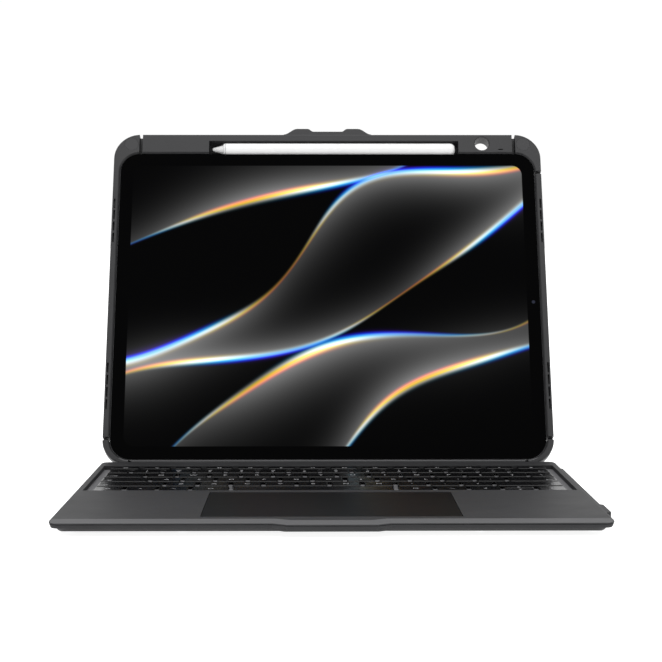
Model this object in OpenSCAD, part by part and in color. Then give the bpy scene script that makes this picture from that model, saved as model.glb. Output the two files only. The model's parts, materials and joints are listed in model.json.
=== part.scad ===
// Tablet keyboard case: a rugged tray holding a tablet and its stylus, propped on a
// folding back stand and docked to a keyboard with a trackpad.
// Lengths are in millimetres. +Z is up, the keyboard's front edge faces -Y, and the
// origin is on the table under the middle of the whole object.

/* [Tablet] */
// Width of the tablet along its long side
tablet_w = 281.6; // [272:0.1:290]
// Height of the tablet along its short side
tablet_h = 215.5; // [208:0.1:222]
// Thickness of the tablet
tablet_t = 5.1; // [4.8:0.1:6]
// Radius of the tablet's corners seen from the front
tablet_r = 13.5; // [12:0.5:15]
// Side of the square camera block on the tablet's back
camera_w = 36; // [30:0.5:40]
// Height of the camera block above the tablet's back
camera_h = 2.3; // [1.5:0.1:3]

/* [Stylus] */
// Length of the stylus
stylus_len = 166; // [150:1:170]
// Diameter of the stylus
stylus_d = 8.9; // [8:0.1:9.2]
// Distance of the stylus's middle from the case's middle
stylus_x = 4.3; // [0:0.1:8]

/* [Case] */
// Angle that the open case leans back from upright
tilt = 22.7; // [18:0.1:26]
// Width of the rim at the tablet's left and right
side_rim = 4.6; // [4.2:0.1:6]
// Width of the rim under the tablet
bottom_rim = 3; // [2.8:0.1:4]
// Wall between the stylus channel and the top edge
stylus_wall = 4.9; // [3.5:0.1:6]
// Height of the rim above the tablet's glass
rim_lip = 1; // [0.8:0.1:1.6]
// Thickness of the soft pad behind the tablet
liner_t = 0.4; // [0.3:0.1:0.8]
// Thickness of the case's back wall
back_wall = 3.9; // [3.8:0.1:4.5]
// Radius of the case's two upper corners
case_top_r = 17.5; // [15:0.5:19]
// Radius of the case's two lower corners
case_bottom_r = 16; // [14:0.5:18]
// Width of the slots that split the rim near its corners
slot_w = 2.2; // [1.5:0.1:3]
// Distance of the top and bottom slots from the tablet's left and right edges
slot_side = 13.5; // [12.5:0.1:16]
// Distance of the side slots from the tablet's top and bottom edges
slot_inset = 14; // [10:0.5:18]
// Height of the two horns on the top edge
horn_h = 4.3; // [3:0.1:6]
// Radius of the lanyard hole
lanyard_r = 4.9; // [4:0.1:5.2]
// Distance of the lanyard hole from the case's right side
lanyard_side = 39.8; // [38:0.1:42]

/* [Stand] */
// Height of the stand's hinge above the fold line, measured up the case
stand_hinge_v = 116; // [112:0.5:120]
// Distance of the folding stand from the case's left and right sides
stand_margin = 27.6; // [26:0.1:40]
// Thickness of the stand's panel
stand_t = 2; // [1.6:0.1:2]
// Radius of the stand's hinge barrels
stand_barrel_r = 1.3; // [1.2:0.05:1.35]

/* [Keyboard] */
// How much further the case reaches than the keyboard, left and right
deck_margin = 0.8; // [0:0.1:2]
// Depth of the keyboard without its front lip
deck_d = 228.6; // [224:0.1:234]
// Height of the keyboard's top above the table
deck_z = 8.2; // [8:0.1:9]
// Height of the joint between the keyboard's deck and its tray
joint_z = 4.4; // [4.3:0.1:4.5]
// Reach of the thumb lip in front of the keyboard
lip_reach = 4.5; // [3:0.1:6]
// Height of the rubber feet under the tray
foot_h = 1; // [0.8:0.1:1.1]
// Distance of the block of keys from the keyboard's left and right sides
key_margin = 7.75; // [7.5:0.05:10]
// Depth of one row of full-size keys
row_d = 18.3; // [17.5:0.1:18.5]
// Depth of the row of half-height keys at the back
function_row_d = 10.9; // [10:0.1:12]
// Gap between neighbouring keys
key_gap = 2.4; // [2:0.1:3]
// Travel of a key
key_travel = 1; // [0.8:0.1:1.1]
// Width of the trackpad
pad_w = 135.5; // [120:0.5:140]
// Depth of the trackpad
pad_d = 84.6; // [78:0.1:86]

/* [Fold] */
// Depth of the fold hinge's axis under the deck's top
pivot_depth = 1.4; // [1.35:0.05:1.5]
// Radius of the fold hinge's knuckles
knuckle_r = 1.25; // [1.1:0.05:1.3]
// Radius of the hinge pins
pin_r = 0.6; // [0.5:0.05:0.7]
// Gap between the deck and the closed case
closed_gap = 0.3; // [0.2:0.05:0.5]

/* [Hidden] */

$fn = 64;
eps = 0.01;
// Clearance round pieces that lift out, slide or turn
slip = 0.3;
// Clearance between flat faces that rest on each other across a joint
rest_gap = 0.1;
// Radial clearance of a pin in its bore
pin_fit = 0.05;
// Reach of the boxes that cut the rim apart, further out than any piece
far = 2 * tablet_w;

// ---- Case, in its own flat frame: x right, y up the case, z out of the front ----
tablet_lo = bottom_rim - 1.5;
tablet_hi = tablet_lo + tablet_h;
tablet_mid = (tablet_lo + tablet_hi) / 2;
case_lo = tablet_lo - bottom_rim;
glass_z = -rim_lip;
tablet_back = glass_z - tablet_t;
liner_top = tablet_back - rest_gap;
floor_z = liner_top - liner_t;
case_back = floor_z - back_wall;
case_half = tablet_w / 2 + side_rim;
slot_x = tablet_w / 2 - slot_side;
lanyard_x = case_half - lanyard_side;
stylus_y = tablet_hi + slip + stylus_d / 2;
stylus_z = -stylus_d / 2 + 0.05;
channel_r = stylus_d / 2 + 0.25;
channel_hi = stylus_y + channel_r;
case_hi = channel_hi + stylus_wall;
channel_left = stylus_x - stylus_len / 2 - 2.2;
channel_right = stylus_x + stylus_len / 2 + 2.2;
side_slot_lo = tablet_lo + slot_inset;
side_slot_hi = tablet_hi - slot_inset;
lanyard_y = case_hi - 6.8;
horn_back = case_back + 2.4;
cap_r = 4.6;
cap_x = case_half - cap_r - 7;
cap_y = case_hi - cap_r - 2.7;
camera_edge = 8;
camera_x = -(tablet_w / 2 - camera_edge - camera_w / 2);
camera_y = tablet_hi - camera_edge - camera_w / 2;
camera_ring_w = 2;

// Profiles that ease the edges, as [inset, height] pairs from the back to the front
case_edge = [[1.6, case_back], [0.4, case_back + 1.2], [0, case_back + 2.4], [0, -0.9],
    [0.25, -0.3], [0.8, 0]];
pocket_edge = [[0, floor_z], [0, glass_z - 0.2], [-0.9, eps]];

// ---- Stand ----
stand_w = 2 * (case_half - stand_margin);
stand_z = case_back + stand_barrel_r + rest_gap;
stand_lo = 2;
stand_len = stand_hinge_v - stand_lo;
stand_in = stand_t - stand_barrel_r;
stand_hinge_height = deck_z + stand_hinge_v * cos(tilt) + stand_z * sin(tilt);
stand_lean = atan(stand_in / stand_len)
    + acos(stand_hinge_height / sqrt(stand_len * stand_len + stand_in * stand_in));
stand_open = stand_lean + tilt;
stand_pocket_z = stand_z + stand_in + 0.15;
stand_pocket_hi = stand_hinge_v + 2 * stand_barrel_r;
stand_edge = stand_hinge_v - stand_barrel_r - 0.4;
stand_hinge_x = stand_w / 2 - 48;
leaf_half = 8;
barrel_end = 2 * leaf_half;

// ---- Fold hinge: its axis keeps the closed case just clear of the deck ----
pivot_y = -((1 + sin(tilt)) * pivot_depth + closed_gap) / cos(tilt);
pivot_z = deck_z - pivot_depth;
pivot_case_y = pivot_y * sin(tilt) - pivot_depth * cos(tilt);
pivot_case_z = closed_gap + pivot_depth;
fold_x = stand_w / 2 - 30;
fold_half = 11;
fold_pin_half = 20;

// ---- Keyboard, in its own frame: y is 0 at the fold line, negative to the front ----
deck_rear = -1.6;
deck_front = deck_rear - deck_d;
deck_half = case_half - deck_margin;
key_field_w = 2 * (deck_half - key_margin);
// Width of one key unit
key_u = key_field_w / 14.15;
deck_r = 5;
slope_d = 8;
deck_skin = 1.8;
tray_inset = 1.7;
tray_floor = foot_h + 1.2;
well_rear = -19.9;
key_rear = well_rear - 1.3;
key_front = key_rear - function_row_d - 5 * row_d;
well_front = key_front - 0.6;
well_half = key_field_w / 2 + 4;
key_top = deck_z - 0.3;
key_h = 1;
plate_z = key_top - key_h - key_travel - 0.3;
sheet_t = 0.3;
// The key stack rests on the tray, and its plate fills it up to the keys' travel
plate_t = plate_z - joint_z - 2 * sheet_t;
rib_half = deck_half - 25;
rib_pitch = (well_rear - well_front) / 4;
cavity_z = plate_z + 0.05;
cap_roof = 0.6;
key_roof = key_top - cap_roof - plate_z;
pad_rear = -131;
pad_mid = pad_rear - pad_d / 2;
pad_top = deck_z - 0.2;
pad_t = 1.2;
pad_gap = 0.4;
bay_rear = well_front - 3;
bay_front = deck_front + 12;
bay_half = deck_half - 4.5;
magnet_x = deck_half - 11;
magnet_y = deck_front + 7.2;
magnet_r = 4;
magnet_hi = deck_z - 2;
screw_r = 1.1;
screw_head_r = 2.1;
boss_r = 2.6;
screw_out = deck_half - 9;
screw_in = pad_w / 2 + 9.25;
screw_xs = [-screw_out, -screw_in, screw_in, screw_out];
screw_ys = [bay_rear - 6, bay_front + 5];
rear_screw_xs = [8 - screw_out, -50, 50, screw_out - 8];
rear_screw_y = well_rear + 7.9;

// The lower half of the deck's edge, with a groove all round over a thin lip
groove_z = deck_z - 1.75;
deck_side = [[1.2, joint_z], [0.7, joint_z + 0.7], [0.4, groove_z - 0.5], [0.3, groove_z - 0.2],
    [0.9, groove_z - 0.15], [0.9, groove_z + 0.15], [0.1, groove_z + 0.2]];
deck_edge = concat(deck_side, [[0, groove_z + 0.5], [0, deck_z - 0.8], [0.25, deck_z - 0.3],
    [1, deck_z]]);
// The front edge slopes down from the deck's top
front_slope = [[0, groove_z + 0.3], [0, deck_z - 1.35], [0.35, deck_z - 1.08],
    [1, deck_z - 0.92], [slope_d, deck_z]];
tray_edge = [[3.4, foot_h], [1.3, foot_h + 1], [0.3, foot_h + 2.2], [0, joint_z - 0.5],
    [0, joint_z]];

// ---- Where the whole object stands in its frame ----
front_reach = lip_reach - deck_front;
back_reach = (case_hi + horn_h) * sin(tilt) - horn_back * cos(tilt);
fold_y = (front_reach - back_reach) / 2;

charcoal = "#4b4b4d";
soft_black = "#2f2f31";
key_black = "#1f1f21";

// ================= Helpers =================

module on_keyboard() translate([0, fold_y, 0]) children();

module on_case() translate([0, fold_y, deck_z]) rotate([90 - tilt, 0, 0]) children();

module on_stand() on_case() translate([0, stand_hinge_v, stand_z]) rotate([stand_open, 0, 0])
    children();

// A box between two corners
module span(lo, hi) translate(lo) cube([hi[0] - lo[0], hi[1] - lo[1], hi[2] - lo[2]]);

// A flat outline between x0..x1 and y0..y1 with round corners
module soft_rect(x0, x1, y0, y1, r) {
    translate([x0 + r, y0]) square([x1 - x0 - 2 * r, y1 - y0]);
    translate([x0, y0 + r]) square([x1 - x0, y1 - y0 - 2 * r]);
    for (x = [x0 + r, x1 - r]) for (y = [y0 + r, y1 - r]) translate([x, y]) circle(r);
}

module soft_block(x0, x1, y0, y1, z0, z1, r)
    translate([0, 0, z0]) linear_extrude(z1 - z0) soft_rect(x0, x1, y0, y1, r);

// A quarter of a round corner whose edge follows the profile
module eased_corner(r, edge)
    rotate_extrude(angle = 90)
        polygon(concat([[0, edge[0][1]]], [for (p = edge) [r - p[0], p[1]]],
            [[0, edge[len(edge) - 1][1]]]));

// A plate with round corners and an eased edge: r_lo and r_hi are the radii at low and high y
module eased_plate(half, lo, hi, r_lo, r_hi, edge) {
    last = len(edge) - 1;
    left = [for (i = [last : -1 : 0]) [edge[i][0] - half, edge[i][1]]];
    right = [for (p = edge) [half - p[0], p[1]]];
    low_end = [for (i = [last : -1 : 0]) [lo + edge[i][0], edge[i][1]]];
    high_end = [for (p = edge) [hi - p[0], p[1]]];
    low_mid = [[lo + r_lo, edge[0][1]], [lo + r_lo, edge[last][1]]];
    high_mid = [[hi - r_hi, edge[last][1]], [hi - r_hi, edge[0][1]]];
    translate([0, hi - r_hi, 0]) rotate([90, 0, 0]) linear_extrude(hi - r_hi - lo - r_lo)
        polygon(concat(right, left));
    translate([r_lo - half, 0, 0]) rotate([90, 0, 90]) linear_extrude(2 * (half - r_lo))
        polygon(concat(low_mid, low_end));
    translate([r_hi - half, 0, 0]) rotate([90, 0, 90]) linear_extrude(2 * (half - r_hi))
        polygon(concat(high_end, high_mid));
    translate([half - r_lo, lo + r_lo, 0]) rotate(-90) eased_corner(r_lo, edge);
    translate([r_lo - half, lo + r_lo, 0]) rotate(180) eased_corner(r_lo, edge);
    translate([half - r_hi, hi - r_hi, 0]) eased_corner(r_hi, edge);
    translate([r_hi - half, hi - r_hi, 0]) rotate(90) eased_corner(r_hi, edge);
}

// Heights along a smooth step from 0 to 1
function ease(t) = (1 - cos(180 * t)) / 2;

// Points of a smooth ramp between two places
function ramp(x0, y0, x1, y1, steps = 6) =
    [for (i = [0 : steps]) [x0 + (x1 - x0) * i / steps, y0 + (y1 - y0) * ease(i / steps)]];

// ================= Keyboard =================

lip_flat = 23.3;
lip_foot = 30.5;
guard_rear = -168;
guard_front = -198;
guard_out = 3.4;
strip_rear = -24;
strip_out = 1.9;
port_y = -165.5;
port_z = 4.55;
notch_y = -207;
switch_y = (guard_rear + guard_front) / 2;
switch_z = joint_z + 1.3;
switch_half = 0.7;

// A length of the sloping front edge, running along x from 0 with its outside at y = 0
module front_edge(length, depth) rotate([90, 0, 90]) linear_extrude(length)
    polygon(concat(deck_side, front_slope, [[depth, deck_z], [depth, joint_z]]));

// What the slope takes off the deck's front
module front_cut() translate([-far / 2, deck_front, 0]) rotate([90, 0, 90]) linear_extrude(far)
    polygon(concat(front_slope, [[slope_d, deck_z + 1], [-lip_reach - 1, deck_z + 1],
        [-lip_reach - 1, groove_z + 0.3]]));

// What a ramp at the lip's right end leaves of it
module lip_ramp() translate([lip_flat, deck_front - lip_reach, 0])
    rotate(atan(lip_reach / (lip_foot - lip_flat))) translate([-3 * lip_foot, 0, 0])
        front_edge(6 * lip_foot, 2 * lip_foot);

// The thumb lip at the middle of the front edge
module thumb_lip() intersection() {
    translate([-lip_foot - 1, deck_front - lip_reach, 0])
        front_edge(2 * lip_foot + 2, lip_reach + slope_d + 2);
    lip_ramp();
    mirror([1, 0, 0]) lip_ramp();
}

// The part of the tray under the thumb lip
module tray_lip() {
    front = deck_front - lip_reach + tray_inset;
    foot = deck_front + tray_inset;
    translate([0, 0, joint_z - 1.1]) linear_extrude(1.1)
        polygon(concat([[-lip_foot, foot + 2]], ramp(-lip_foot, foot, -lip_flat, front),
            ramp(lip_flat, front, lip_foot, foot), [[lip_foot, foot + 2]]));
}

// The bumps on the sides that guard the switch (right) and the charging port (left)
module side_guard(rear, front, out, lo, hi)
    translate([0, 0, lo]) linear_extrude(hi - lo)
        polygon([[-3, rear], [0, rear], [out, rear - 2.5], [out, front + 2.5], [0, front],
            [-3, front]]);

module deck_form() {
    difference() {
        eased_plate(deck_half, deck_front, deck_rear, deck_r, deck_r, deck_edge);
        front_cut();
    }
    thumb_lip();
    // the groove stops short of the fold hinge
    span([deck_r - deck_half, deck_rear - 3, groove_z - 0.4],
        [deck_half - deck_r, deck_rear - 0.35, groove_z + 0.4]);
    translate([deck_half, 0, 0]) {
        side_guard(strip_rear, guard_front, strip_out, joint_z + 0.4, deck_z - 1.3);
        side_guard(guard_rear, guard_front, guard_out, joint_z, deck_z - 1.1);
    }
    translate([-deck_half, 0, 0]) mirror([1, 0, 0])
        side_guard(port_y + 8.5, port_y - 8.5, 0.7, joint_z, deck_z - 1.6);
}

// Every place where a screw holds the tray to the deck
module screw_places() {
    for (x = screw_xs) for (y = screw_ys) translate([x, y, 0]) children();
    for (x = rear_screw_xs) translate([x, rear_screw_y, 0]) children();
}

module top_deck() color(charcoal) on_keyboard() difference() {
    union() {
        difference() {
            deck_form();
            // the well that the keys stand in, open to the plate under it
            span([-well_half, well_front, joint_z - 1], [well_half, well_rear, deck_z + 1]);
            // the room for the key stack and for the parts under the palm rests
            span([-well_half - 1.4, well_front - 1.6, joint_z - 1],
                [well_half + 1.4, well_rear + 1.6, cavity_z]);
            span([-bay_half, bay_front, joint_z - 1], [bay_half, bay_rear, deck_z - deck_skin]);
        }
        screw_places() translate([0, 0, joint_z]) cylinder(r = boss_r, h = 2.2);
    }
    // the trackpad's opening
    span([-pad_w / 2 - pad_gap, pad_rear - pad_d - pad_gap, joint_z],
        [pad_w / 2 + pad_gap, pad_rear + pad_gap, deck_z + 1]);
    screw_places() translate([0, 0, joint_z - 1]) cylinder(r = screw_r, h = 2.6);
    for (s = [-1, 1]) {
        // notches for the dock bar's knuckles, and the bores of their pins
        span([s * fold_x - fold_half, pivot_y - 1.7, joint_z - 1],
            [s * fold_x + fold_half, deck_rear + 1, deck_z + 1]);
        translate([s * fold_x - fold_pin_half - 0.2, pivot_y, pivot_z]) rotate([0, 90, 0])
            cylinder(r = pin_r + pin_fit, h = 2 * fold_pin_half + 0.4);
        // notches behind the front corners
        translate([s * deck_half, notch_y, 0]) rotate(45)
            translate([-1, -1, joint_z - 1]) cube([2, 2, deck_z]);
        // pockets for the closing magnets, open underneath
        translate([s * magnet_x, magnet_y, joint_z - 1])
            cylinder(r = magnet_r + 0.1, h = magnet_hi - joint_z + 1);
    }
    // charging port's mouth in the left side and the switch's window in the right side
    port_hole(deck_half + 3, 0.3);
    span([deck_half - 6, switch_y - 5, switch_z - switch_half - 0.2],
        [deck_half + guard_out + 1, switch_y + 5, switch_z + switch_half + 0.2]);
}

// A slot with round ends, running out through the left side
module port_hole(reach, gap)
    translate([-reach, port_y, port_z]) rotate([90, 0, 90]) linear_extrude(reach - deck_half + 9)
        soft_rect(-4.5 - gap, 4.5 + gap, -1.6 - gap, 1.6 + gap, 1.5);

module bottom_tray() color(soft_black) on_keyboard() difference() {
    union() {
        difference() {
            union() {
                eased_plate(deck_half - tray_inset, deck_front + tray_inset,
                    deck_rear - tray_inset, 14, 9, tray_edge);
                tray_lip();
            }
            soft_block(-bay_half, bay_half, bay_front, deck_rear - 6.5, tray_floor,
                joint_z + 1, 6);
            // the underside slopes up towards the front edge
            translate([-far / 2, deck_front, 0]) rotate([90, 0, 90]) linear_extrude(far)
                polygon([[0, foot_h + 2.2], [slope_d + 4.5, foot_h], [slope_d + 4.5, -1],
                    [0, -1]]);
        }
        screw_places() translate([0, 0, tray_floor - eps])
            cylinder(r = boss_r, h = joint_z - tray_floor + eps);
        // ribs that carry the key stack
        for (i = [1, 2, 3]) translate([0, well_rear - i * rib_pitch, 0])
            span([-rib_half, -0.6, tray_floor - eps], [rib_half, 0.6, joint_z]);
    }
    screw_places() {
        translate([0, 0, foot_h - 1]) cylinder(r = screw_r + 0.2, h = joint_z + 2);
        translate([0, 0, foot_h - 1]) cylinder(r = screw_head_r + 0.2, h = 1.8);
    }
    foot_places() foot_outline(foot_h - 1, foot_h + 0.4, 0.05);
    port_hole(deck_half + 3, 0.3);
}

foot_half = 16;
foot_r = 4.5;
foot_x = deck_half - 33;
module foot_places() for (x = [-foot_x, foot_x]) for (y = [deck_rear - 26.4, deck_front + 24])
    translate([x, y, 0]) children();

// A foot's outline: a strip with half-round ends
module foot_outline(z0, z1, gap) translate([0, 0, z0]) linear_extrude(z1 - z0) {
    straight = foot_half - foot_r;
    translate([-straight, -foot_r - gap]) square([2 * straight, 2 * (foot_r + gap)]);
    for (s = [-1, 1]) translate([s * straight, 0]) circle(foot_r + gap);
}

module rubber_feet() color("#262626") on_keyboard() foot_places() foot_outline(0, foot_h + 0.4, 0);

module tray_screws() color("#8d8f92") on_keyboard() screw_places() difference() {
    union() {
        translate([0, 0, foot_h + 0.1]) cylinder(r = screw_head_r, h = 0.7);
        translate([0, 0, foot_h + 0.1]) cylinder(r = screw_r, h = joint_z + 1.4 - foot_h);
    }
    translate([0, 0, foot_h]) cylinder(r = 0.9, h = 0.6, $fn = 6);
}

// One flat layer of the key stack
module stack_layer(z0, z1, inset)
    span([-well_half - 1.3 + inset, well_front - 1.5 + inset, z0],
        [well_half + 1.3 - inset, well_rear + 1.5 - inset, z1]);

module key_plate() color("#55575a") on_keyboard() stack_layer(plate_z - plate_t, plate_z, 0);
module key_membrane() color("#9da3a0") on_keyboard()
    stack_layer(plate_z - plate_t - sheet_t, plate_z - plate_t, 0.6);
module light_guide() color("#d8dcdc") on_keyboard() stack_layer(joint_z, joint_z + sheet_t, 1);

// ---- Keys: each row is a list of widths that fills the key field, in key units ----
function key_run(first, pitch, count) = concat([first * key_u],
    [for (i = [1 : count]) pitch * key_u], [key_field_w - (first + pitch * count) * key_u]);
function sum_to(list, n, i = 0) = i >= n ? 0 : list[i] + sum_to(list, n, i + 1);

function_widths = key_run(1.029, 1.005, 12);
number_widths = key_run(0.775, 1.003, 12);
upper_widths = key_run(1.313, 1, 12);
home_widths = key_run(1.561, 0.998, 11);
lower_widths = key_run(2.078, 0.998, 10);
left_modifier_widths = [0.951 * key_u, 0.982 * key_u, 0.993 * key_u, 1.21 * key_u];
right_modifier_widths = [1.158 * key_u, 1.003 * key_u];
arrow_w = 1.003 * key_u;
space_left = -key_field_w / 2 + sum_to(left_modifier_widths, 4);
arrow_left = key_field_w / 2 - 2.946 * key_u;
space_right = arrow_left - sum_to(right_modifier_widths, 2);

// Rear edge of a full-size row, counted from 0 behind to 4 in front
function row_rear(i) = key_rear - function_row_d - i * row_d;

// One keycap: a shallow cap, hollow underneath
module keycap(x0, x1, rear, depth) {
    g = key_gap / 2;
    wall = 1;
    difference() {
        soft_block(x0 + g, x1 - g, rear - depth + g, rear - g, key_top - key_h, key_top, 1.4);
        span([x0 + g + wall, rear - depth + g + wall, key_top - key_h - 1],
            [x1 - g - wall, rear - g - wall, key_top - cap_roof]);
    }
}

module key_row(widths, left, rear, depth)
    for (i = [0 : len(widths) - 1])
        keycap(left + sum_to(widths, i), left + sum_to(widths, i + 1), rear, depth);

field_left = -key_field_w / 2;

module function_keys() color(key_black) on_keyboard()
    key_row(function_widths, field_left, key_rear, function_row_d);
module number_keys() color(key_black) on_keyboard()
    key_row(number_widths, field_left, row_rear(0), row_d);
module upper_letter_keys() color(key_black) on_keyboard()
    key_row(upper_widths, field_left, row_rear(1), row_d);
module home_keys() color(key_black) on_keyboard()
    key_row(home_widths, field_left, row_rear(2), row_d);
module lower_letter_keys() color(key_black) on_keyboard()
    key_row(lower_widths, field_left, row_rear(3), row_d);
module modifier_keys() color(key_black) on_keyboard() {
    key_row(left_modifier_widths, field_left, row_rear(4), row_d);
    key_row(right_modifier_widths, space_right, row_rear(4), row_d);
}
module space_bar() color(key_black) on_keyboard()
    keycap(space_left, space_right, row_rear(4), row_d);
module arrow_keys() color(key_black) on_keyboard() {
    half = row_d / 2;
    for (i = [0, 2]) keycap(arrow_left + i * arrow_w,
        min(arrow_left + (i + 1) * arrow_w, key_field_w / 2), row_rear(4), row_d);
    for (i = [0, 1]) keycap(arrow_left + arrow_w, arrow_left + 2 * arrow_w,
        row_rear(4) - i * (half - 0.6), half + 0.6);
}

// One rubber dome under a key, small enough for the half-height keys
dome_r = (row_d / 2 + 0.6 - key_gap - 2) / 2 - 0.1;
module dome(x, y) translate([x, y, plate_z])
    rotate_extrude($fn = 24) polygon([[0, 0], [dome_r, 0], [dome_r * 0.9, 0.3],
        [dome_r / 2, key_roof - rest_gap], [0, key_roof - rest_gap]]);

module dome_row(widths, left, rear, depth)
    for (i = [0 : len(widths) - 1])
        dome(left + (sum_to(widths, i) + sum_to(widths, i + 1)) / 2, rear - depth / 2);

module rubber_domes() color("#d9d9d4") on_keyboard() {
    dome_row(function_widths, field_left, key_rear, function_row_d);
    dome_row(number_widths, field_left, row_rear(0), row_d);
    dome_row(upper_widths, field_left, row_rear(1), row_d);
    dome_row(home_widths, field_left, row_rear(2), row_d);
    dome_row(lower_widths, field_left, row_rear(3), row_d);
    dome_row(left_modifier_widths, field_left, row_rear(4), row_d);
    dome_row(right_modifier_widths, space_right, row_rear(4), row_d);
    dome((space_left + space_right) / 2, row_rear(4) - row_d / 2);
    for (i = [0, 2]) dome(arrow_left + (i + 0.5) * arrow_w, row_rear(4) - row_d / 2);
    for (i = [0, 1]) dome(arrow_left + 1.5 * arrow_w, row_rear(4) - (0.25 + i / 2) * row_d);
}

// ---- Trackpad ----
pad_under = pad_top - pad_t;
bracket_t = 0.6;
bracket_z = pad_under - 0.8;
tab_x = pad_w / 2 - 15.75;
hole_half = pad_w / 2 / 5;
hole_d = pad_d / 2;

module trackpad() color("#2a2a2c") on_keyboard()
    soft_block(-pad_w / 2, pad_w / 2, pad_rear - pad_d, pad_rear, pad_under, pad_top, 2);

// The steel bracket under the trackpad, with the tabs that carry the trackpad's rear edge
module trackpad_bracket() color("#6e7072") on_keyboard() difference() {
    union() {
        span([-pad_w / 2 - 5, pad_rear - pad_d - 2.4, bracket_z - bracket_t],
            [pad_w / 2 + 5, pad_rear + 2, bracket_z]);
        for (x = [-tab_x, 0, tab_x]) span([x - 6, pad_rear - 5, bracket_z - eps],
            [x + 6, pad_rear - 1, pad_under - rest_gap]);
        for (s = [-1, 1]) span([s * (pad_w / 2 + 3.4) - 1.6, pad_rear - pad_d + 6, bracket_z - eps],
            [s * (pad_w / 2 + 3.4) + 1.6, pad_rear - 6, deck_z - deck_skin]);
    }
    for (i = [-1 : 1]) soft_block((3 * i - 1) * hole_half, (3 * i + 1) * hole_half,
        pad_mid - hole_d / 2, pad_mid + hole_d / 2, bracket_z - 2, bracket_z + 1, 4);
}

switch_pad_y = pad_rear - pad_d + 10;
module trackpad_switch() color("#b9bcc0") on_keyboard() {
    span([-3, switch_pad_y - 3, bracket_z], [3, switch_pad_y + 3, bracket_z + 0.15]);
    translate([0, switch_pad_y, bracket_z]) cylinder(r = 1.6, h = 0.2);
}

battery_half_w = (deck_half - pad_w / 2) / 2 - 9.6;
battery_x = (deck_half + pad_w / 2) / 2;
module batteries() color("#c9ccd0") on_keyboard() for (s = [-1, 1])
    soft_block(s * battery_x - battery_half_w, s * battery_x + battery_half_w,
        bay_front + 12, bay_rear - 12, tray_floor, deck_z - deck_skin - 0.3, 3);

board_half = pad_w / 2 - 15.75;
board_d = pad_d / 3;
board_z = tray_floor + 0.6;
module main_board() color("#2c6b4a") on_keyboard() translate([0, pad_mid + pad_d / 5, 0]) {
    span([-board_half, -board_d / 2, board_z], [board_half, board_d / 2, board_z + 0.8]);
    for (i = [-1 : 1]) translate([i * board_half * 0.85, 0, 0])
        span([-3, -board_d / 4, tray_floor], [3, board_d / 4, board_z]);
    span([-12, -board_d / 4, board_z + 0.8], [-2, board_d / 8, board_z + 1.7]);
    span([8, -board_d / 6, board_z + 0.8], [16, board_d / 12, board_z + 1.5]);
}

module charge_port() color("#b4b7ba") on_keyboard()
    translate([-deck_half + 0.8, port_y, port_z]) rotate([90, 0, 90]) difference() {
        linear_extrude(7.2) soft_rect(-4.5, 4.5, -1.6, 1.6, 1.5);
        translate([0, 0, -1]) linear_extrude(6.6) soft_rect(-4.15, 4.15, -1.25, 1.25, 1.2);
    }

// The sliding power switch, in its window in the right side
module power_switch() color("#1c1c1e") on_keyboard() {
    out = deck_half + guard_out - 0.5;
    span([deck_half - 5.6, switch_y - 3.4, switch_z - switch_half],
        [out, switch_y + 0.4, switch_z + switch_half]);
    for (i = [0 : 2]) span([out - eps, switch_y - 2.8 + 1.1 * i, switch_z - switch_half],
        [out + 0.4, switch_y - 2.3 + 1.1 * i, switch_z + switch_half]);
}

module front_magnets() color("#a6a9ad") on_keyboard() for (s = [-1, 1])
    translate([s * magnet_x, magnet_y, joint_z]) cylinder(r = magnet_r, h = magnet_hi - joint_z);

// ================= Fold hinge and dock =================

bar_half = stand_w / 2;
bar_t = 2.4;
bar_hi = case_lo - 0.2;
bar_lo = bar_hi - bar_t;
bar_front = -1.5;
bar_back = -7.5;
dock_magnet_len = 16;
dock_magnet_out = bar_half - 14;
dock_magnet_xs = [-dock_magnet_out, -64, -32, 32, 64, dock_magnet_out];
peg_xs = [-48, 48];
peg_r = 1.4;
peg_z = -4.5;

module dock_bar() color(soft_black) on_case() difference() {
    union() {
        span([-bar_half, bar_lo, bar_back], [bar_half, bar_hi, bar_front]);
        for (s = [-1, 1]) {
            span([s * fold_x - fold_half + slip, pivot_case_y - knuckle_r + 0.25, bar_front - eps],
                [s * fold_x + fold_half - slip, bar_hi, pivot_case_z]);
            translate([s * fold_x - fold_half + slip, pivot_case_y, pivot_case_z])
                rotate([0, 90, 0]) cylinder(r = knuckle_r, h = 2 * (fold_half - slip));
        }
        for (x = peg_xs) translate([x, bar_hi - eps, peg_z]) rotate([-90, 0, 0])
            cylinder(r = peg_r, h = 1.1);
    }
    for (s = [-1, 1]) translate([s * fold_x - fold_half - 1, pivot_case_y, pivot_case_z])
        rotate([0, 90, 0]) cylinder(r = pin_r + pin_fit, h = 2 * fold_half + 2);
    for (x = dock_magnet_xs) span([x - dock_magnet_len / 2 - 0.1, bar_hi - 1.6, peg_z - 2.1],
        [x + dock_magnet_len / 2 + 0.1, bar_hi + 1, peg_z + 2.1]);
}

module dock_magnets() color("#a6a9ad") on_case() for (x = dock_magnet_xs)
    span([x - dock_magnet_len / 2, bar_hi - 1.6, peg_z - 2],
        [x + dock_magnet_len / 2, bar_hi, peg_z + 2]);

module hinge_pins() color("#c4c7ca") on_keyboard() for (s = [-1, 1])
    translate([s * fold_x - fold_pin_half, pivot_y, pivot_z]) rotate([0, 90, 0])
        cylinder(r = pin_r, h = 2 * fold_pin_half, $fn = 32);

// ================= Case =================

// The whole case as one form, before it is divided into its shell and rim pieces
module case_form() eased_plate(case_half, case_lo, case_hi, case_bottom_r, case_top_r, case_edge);

// The room for the tablet, flaring out at the front
module tablet_room() eased_plate(tablet_w / 2 + slip, tablet_lo - slip, tablet_hi + slip,
    tablet_r + slip, tablet_r + slip, pocket_edge);

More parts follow.
